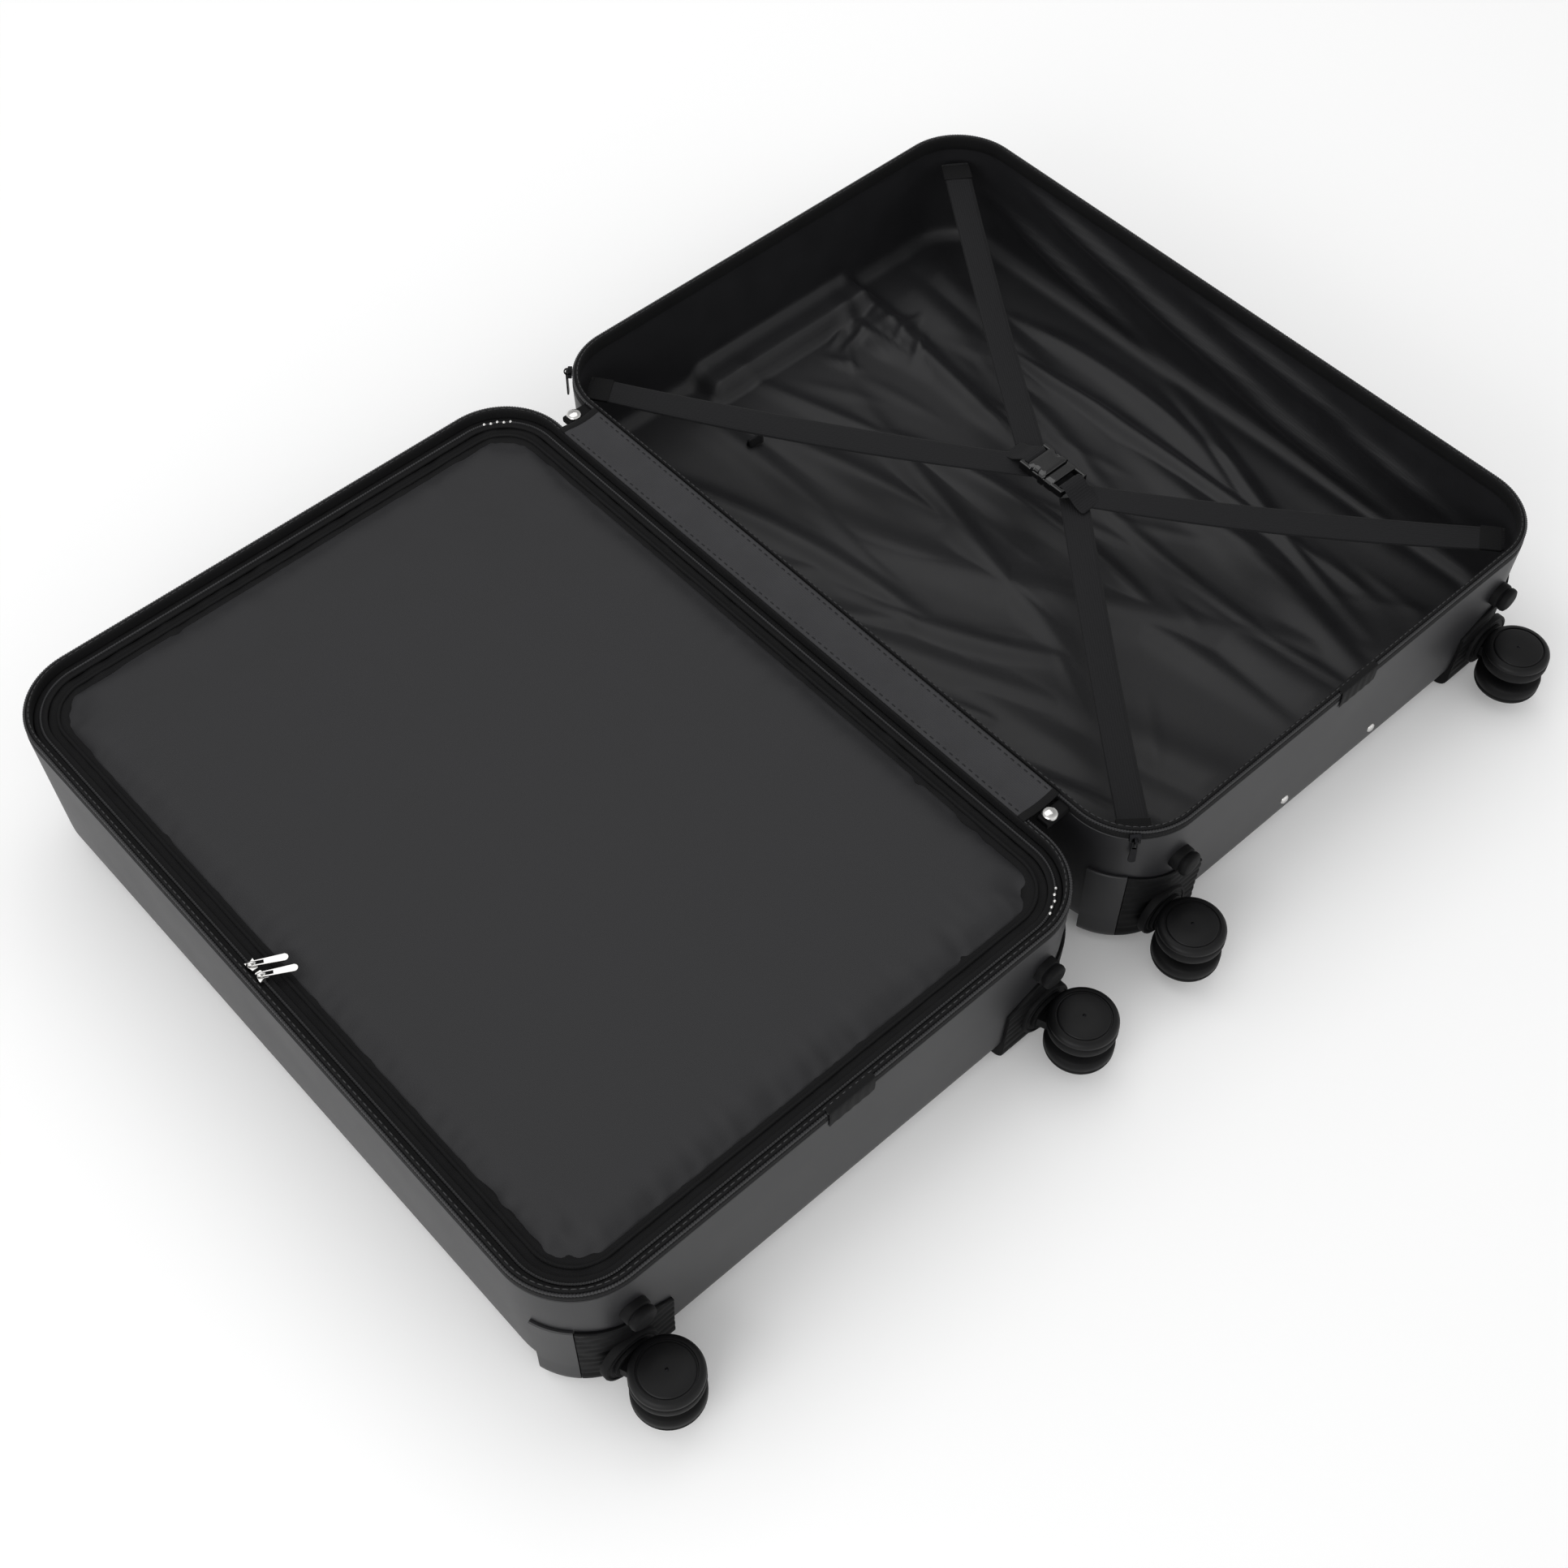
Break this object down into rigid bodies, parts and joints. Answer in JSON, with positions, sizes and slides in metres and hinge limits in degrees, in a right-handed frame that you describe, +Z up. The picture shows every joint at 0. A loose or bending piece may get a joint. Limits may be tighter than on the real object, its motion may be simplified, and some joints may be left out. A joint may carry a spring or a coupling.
{
  "type": "hard shell suitcase",
  "caption": "Open hard shell spinner suitcase: two hinged shells, zipped divider, crossed straps, twin-wheel casters, telescopic handle, carry handles and a dial lock.",
  "frame": {"origin": "bottom centre of the whole open suitcase, on the floor", "axes": "+Z up, +X across both halves from the front half to the back half, +Y from the wheels to the telescopic handle"},
  "size_m": [1.079, 0.7798, 0.1547],
  "materials": {
    "shell": "black satin polycarbonate with a fine even grain",
    "lining": "thin black polyester satin, creased",
    "zip_tape": "black woven zip tape",
    "hinge_fabric": "dark grey woven nylon",
    "divider_fabric": "dark grey woven polyester over thin foam",
    "webbing": "black elastic webbing",
    "gloss_parts": "black polished acetal",
    "zip_metal": "bright nickel-plated zinc",
    "dark_zip_metal": "gunmetal-plated zinc",
    "tube_metal": "satin anodised aluminium",
    "fittings": "black moulded nylon, fine texture",
    "steel": "plain steel pin",
    "wheel": "black polyurethane with a smooth moulded cap"
  },
  "bodies": {
    "base": {"back_shell": "shell", "back_lining": "lining", "back_zipper_tape": "zip_tape", "hinge_web": "hinge_fabric", "trolley_outer_tube_1": "tube_metal", "trolley_outer_tube_2": "tube_metal", "trolley_cup": "fittings", "top_handle_mount": "fittings", "side_handle_mount": "fittings", "lock_body": "fittings", "strap_handle_end_inner": "webbing", "strap_handle_end_outer": "webbing", "strap_wheel_end_inner": "wheel", "strap_wheel_end_outer": "wheel", "buckle_socket": "gloss_parts", "main_slider_1": "dark_zip_metal", "main_slider_2": "dark_zip_metal", "caster_3_housing": "fittings", "caster_4_housing": "fittings"},
    "front": {"front_shell": "shell", "front_lining": "lining", "front_zipper_tape": "zip_tape", "divider_zipper_tape": "zip_tape", "caster_1_housing": "fittings", "caster_2_housing": "fittings"},
    "divider": {"divider_panel": "divider_fabric"},
    "divider_slider_1": {"divider_slider_1": "zip_metal"},
    "divider_slider_2": {"divider_slider_2": "zip_metal"},
    "divider_pull_1": {"divider_pull_1": "zip_metal"},
    "divider_pull_2": {"divider_pull_2": "zip_metal"},
    "main_pull_1": {"main_pull_1": "dark_zip_metal"},
    "main_pull_2": {"main_pull_2": "dark_zip_metal"},
    "trolley": {"trolley_grip": "fittings", "trolley_inner_tube_1": "tube_metal", "trolley_inner_tube_2": "tube_metal"},
    "trolley_button": {"trolley_button": "gloss_parts"},
    "top_handle": {"top_handle": "fittings"},
    "side_handle": {"side_handle": "fittings"},
    "lock_dial_1": {"lock_dial_1": "dark_zip_metal"},
    "lock_dial_2": {"lock_dial_2": "dark_zip_metal"},
    "lock_dial_3": {"lock_dial_3": "dark_zip_metal"},
    "lock_button": {"lock_button": "gloss_parts"},
    "buckle_plug": {"buckle_plug": "gloss_parts"},
    "caster_1": {"caster_1_fork": "fittings", "caster_1_axle": "steel"},
    "caster_1_wheel_upper": {"caster_1_wheel_upper": "wheel"},
    "caster_1_wheel_lower": {"caster_1_wheel_lower": "wheel"},
    "caster_2": {"caster_2_fork": "fittings", "caster_2_axle": "steel"},
    "caster_2_wheel_upper": {"caster_2_wheel_upper": "wheel"},
    "caster_2_wheel_lower": {"caster_2_wheel_lower": "wheel"},
    "caster_3": {"caster_3_fork": "fittings", "caster_3_axle": "steel"},
    "caster_3_wheel_upper": {"caster_3_wheel_upper": "wheel"},
    "caster_3_wheel_lower": {"caster_3_wheel_lower": "wheel"},
    "caster_4": {"caster_4_fork": "fittings", "caster_4_axle": "steel"},
    "caster_4_wheel_upper": {"caster_4_wheel_upper": "wheel"},
    "caster_4_wheel_lower": {"caster_4_wheel_lower": "wheel"}
  },
  "joints": [
    {"name": "lid_hinge", "type": "hinge", "parent": "base", "child": "front", "pos_m": [-0.00964, 0.02061, 0.155], "axis": [0, 1, 0], "range_deg": [0, 180]},
    {"name": "divider_hinge", "type": "hinge", "parent": "front", "child": "divider", "pos_m": [-0.05049, 0.02061, 0.1475], "axis": [0, -1, 0], "range_deg": [-120, 0]},
    {"name": "divider_slider_1_travel", "type": "slide", "parent": "divider", "child": "divider_slider_1", "axis": [0, 1, 0], "range_m": [0, 0.26]},
    {"name": "divider_slider_2_travel", "type": "slide", "parent": "divider", "child": "divider_slider_2", "axis": [0, 1, 0], "range_m": [-0.28, 0]},
    {"name": "divider_pull_1_swing", "type": "hinge", "parent": "divider_slider_1", "child": "divider_pull_1", "pos_m": [-0.52744, 0.03611, 0.151], "axis": [0.4695, 0.8829, 0], "range_deg": [-135, 0]},
    {"name": "divider_pull_2_swing", "type": "hinge", "parent": "divider_slider_2", "child": "divider_pull_2", "pos_m": [-0.52744, 0.02411, 0.151], "axis": [0.4695, 0.8829, 0], "range_deg": [-135, 0]},
    {"name": "main_pull_1_swing", "type": "hinge", "parent": "base", "child": "main_pull_1", "pos_m": [0.02076, 0.35606, 0.1496], "axis": [0.7071, 0.7071, 0], "range_deg": [0, 90]},
    {"name": "main_pull_2_swing", "type": "hinge", "parent": "base", "child": "main_pull_2", "pos_m": [0.02076, -0.31484, 0.1496], "axis": [-0.7071, 0.7071, 0], "range_deg": [0, 90]},
    {"name": "trolley_slide", "type": "slide", "parent": "base", "child": "trolley", "axis": [0, 1, 0], "range_m": [0, 0.36]},
    {"name": "trolley_button_press", "type": "slide", "parent": "trolley", "child": "trolley_button", "axis": [0, -1, 0], "range_m": [0, 0.003], "stiffness_N_per_m": 500},
    {"name": "top_handle_pull", "type": "slide", "parent": "base", "child": "top_handle", "axis": [0, 1, 0], "range_m": [0, 0.01], "stiffness_N_per_m": 300},
    {"name": "side_handle_pull", "type": "slide", "parent": "base", "child": "side_handle", "axis": [1, 0, 0], "range_m": [0, 0.01], "stiffness_N_per_m": 300},
    {"name": "lock_dial_1_turn", "type": "hinge", "parent": "base", "child": "lock_dial_1", "pos_m": [0.5255, 0.15061, 0.121], "axis": [0, 1, 0], "continuous": true},
    {"name": "lock_dial_2_turn", "type": "hinge", "parent": "base", "child": "lock_dial_2", "pos_m": [0.5255, 0.15961, 0.121], "axis": [0, 1, 0], "continuous": true},
    {"name": "lock_dial_3_turn", "type": "hinge", "parent": "base", "child": "lock_dial_3", "pos_m": [0.5255, 0.16861, 0.121], "axis": [0, 1, 0], "continuous": true},
    {"name": "lock_button_press", "type": "slide", "parent": "base", "child": "lock_button", "axis": [-1, 0, 0], "range_m": [0, 0.0018], "stiffness_N_per_m": 500},
    {"name": "buckle_release", "type": "slide", "parent": "base", "child": "buckle_plug", "axis": [0, -1, 0], "range_m": [0, 0.024]},
    {"name": "caster_1_swivel", "type": "hinge", "parent": "front", "child": "caster_1", "pos_m": [-0.48849, -0.33339, 0.037], "axis": [0, 1, 0], "continuous": true},
    {"name": "caster_1_wheel_upper_roll", "type": "hinge", "parent": "caster_1", "child": "caster_1_wheel_upper", "pos_m": [-0.48249, -0.36239, 0.037], "axis": [0, 0, 1], "continuous": true},
    {"name": "caster_1_wheel_lower_roll", "type": "hinge", "parent": "caster_1", "child": "caster_1_wheel_lower", "pos_m": [-0.48249, -0.36239, 0.037], "axis": [0, 0, 1], "continuous": true},
    {"name": "caster_2_swivel", "type": "hinge", "parent": "front", "child": "caster_2", "pos_m": [-0.07649, -0.33339, 0.037], "axis": [0, 1, 0], "continuous": true},
    {"name": "caster_2_wheel_upper_roll", "type": "hinge", "parent": "caster_2", "child": "caster_2_wheel_upper", "pos_m": [-0.07049, -0.36239, 0.037], "axis": [0, 0, 1], "continuous": true},
    {"name": "caster_2_wheel_lower_roll", "type": "hinge", "parent": "caster_2", "child": "caster_2_wheel_lower", "pos_m": [-0.07049, -0.36239, 0.037], "axis": [0, 0, 1], "continuous": true},
    {"name": "caster_3_swivel", "type": "hinge", "parent": "base", "child": "caster_3", "pos_m": [0.05721, -0.33339, 0.037], "axis": [0, 1, 0], "continuous": true},
    {"name": "caster_3_wheel_upper_roll", "type": "hinge", "parent": "caster_3", "child": "caster_3_wheel_upper", "pos_m": [0.05121, -0.36239, 0.037], "axis": [0, 0, 1], "continuous": true},
    {"name": "caster_3_wheel_lower_roll", "type": "hinge", "parent": "caster_3", "child": "caster_3_wheel_lower", "pos_m": [0.05121, -0.36239, 0.037], "axis": [0, 0, 1], "continuous": true},
    {"name": "caster_4_swivel", "type": "hinge", "parent": "base", "child": "caster_4", "pos_m": [0.46921, -0.33339, 0.037], "axis": [0, 1, 0], "continuous": true},
    {"name": "caster_4_wheel_upper_roll", "type": "hinge", "parent": "caster_4", "child": "caster_4_wheel_upper", "pos_m": [0.46321, -0.36239, 0.037], "axis": [0, 0, 1], "continuous": true},
    {"name": "caster_4_wheel_lower_roll", "type": "hinge", "parent": "caster_4", "child": "caster_4_wheel_lower", "pos_m": [0.46321, -0.36239, 0.037], "axis": [0, 0, 1], "continuous": true}
  ]
}
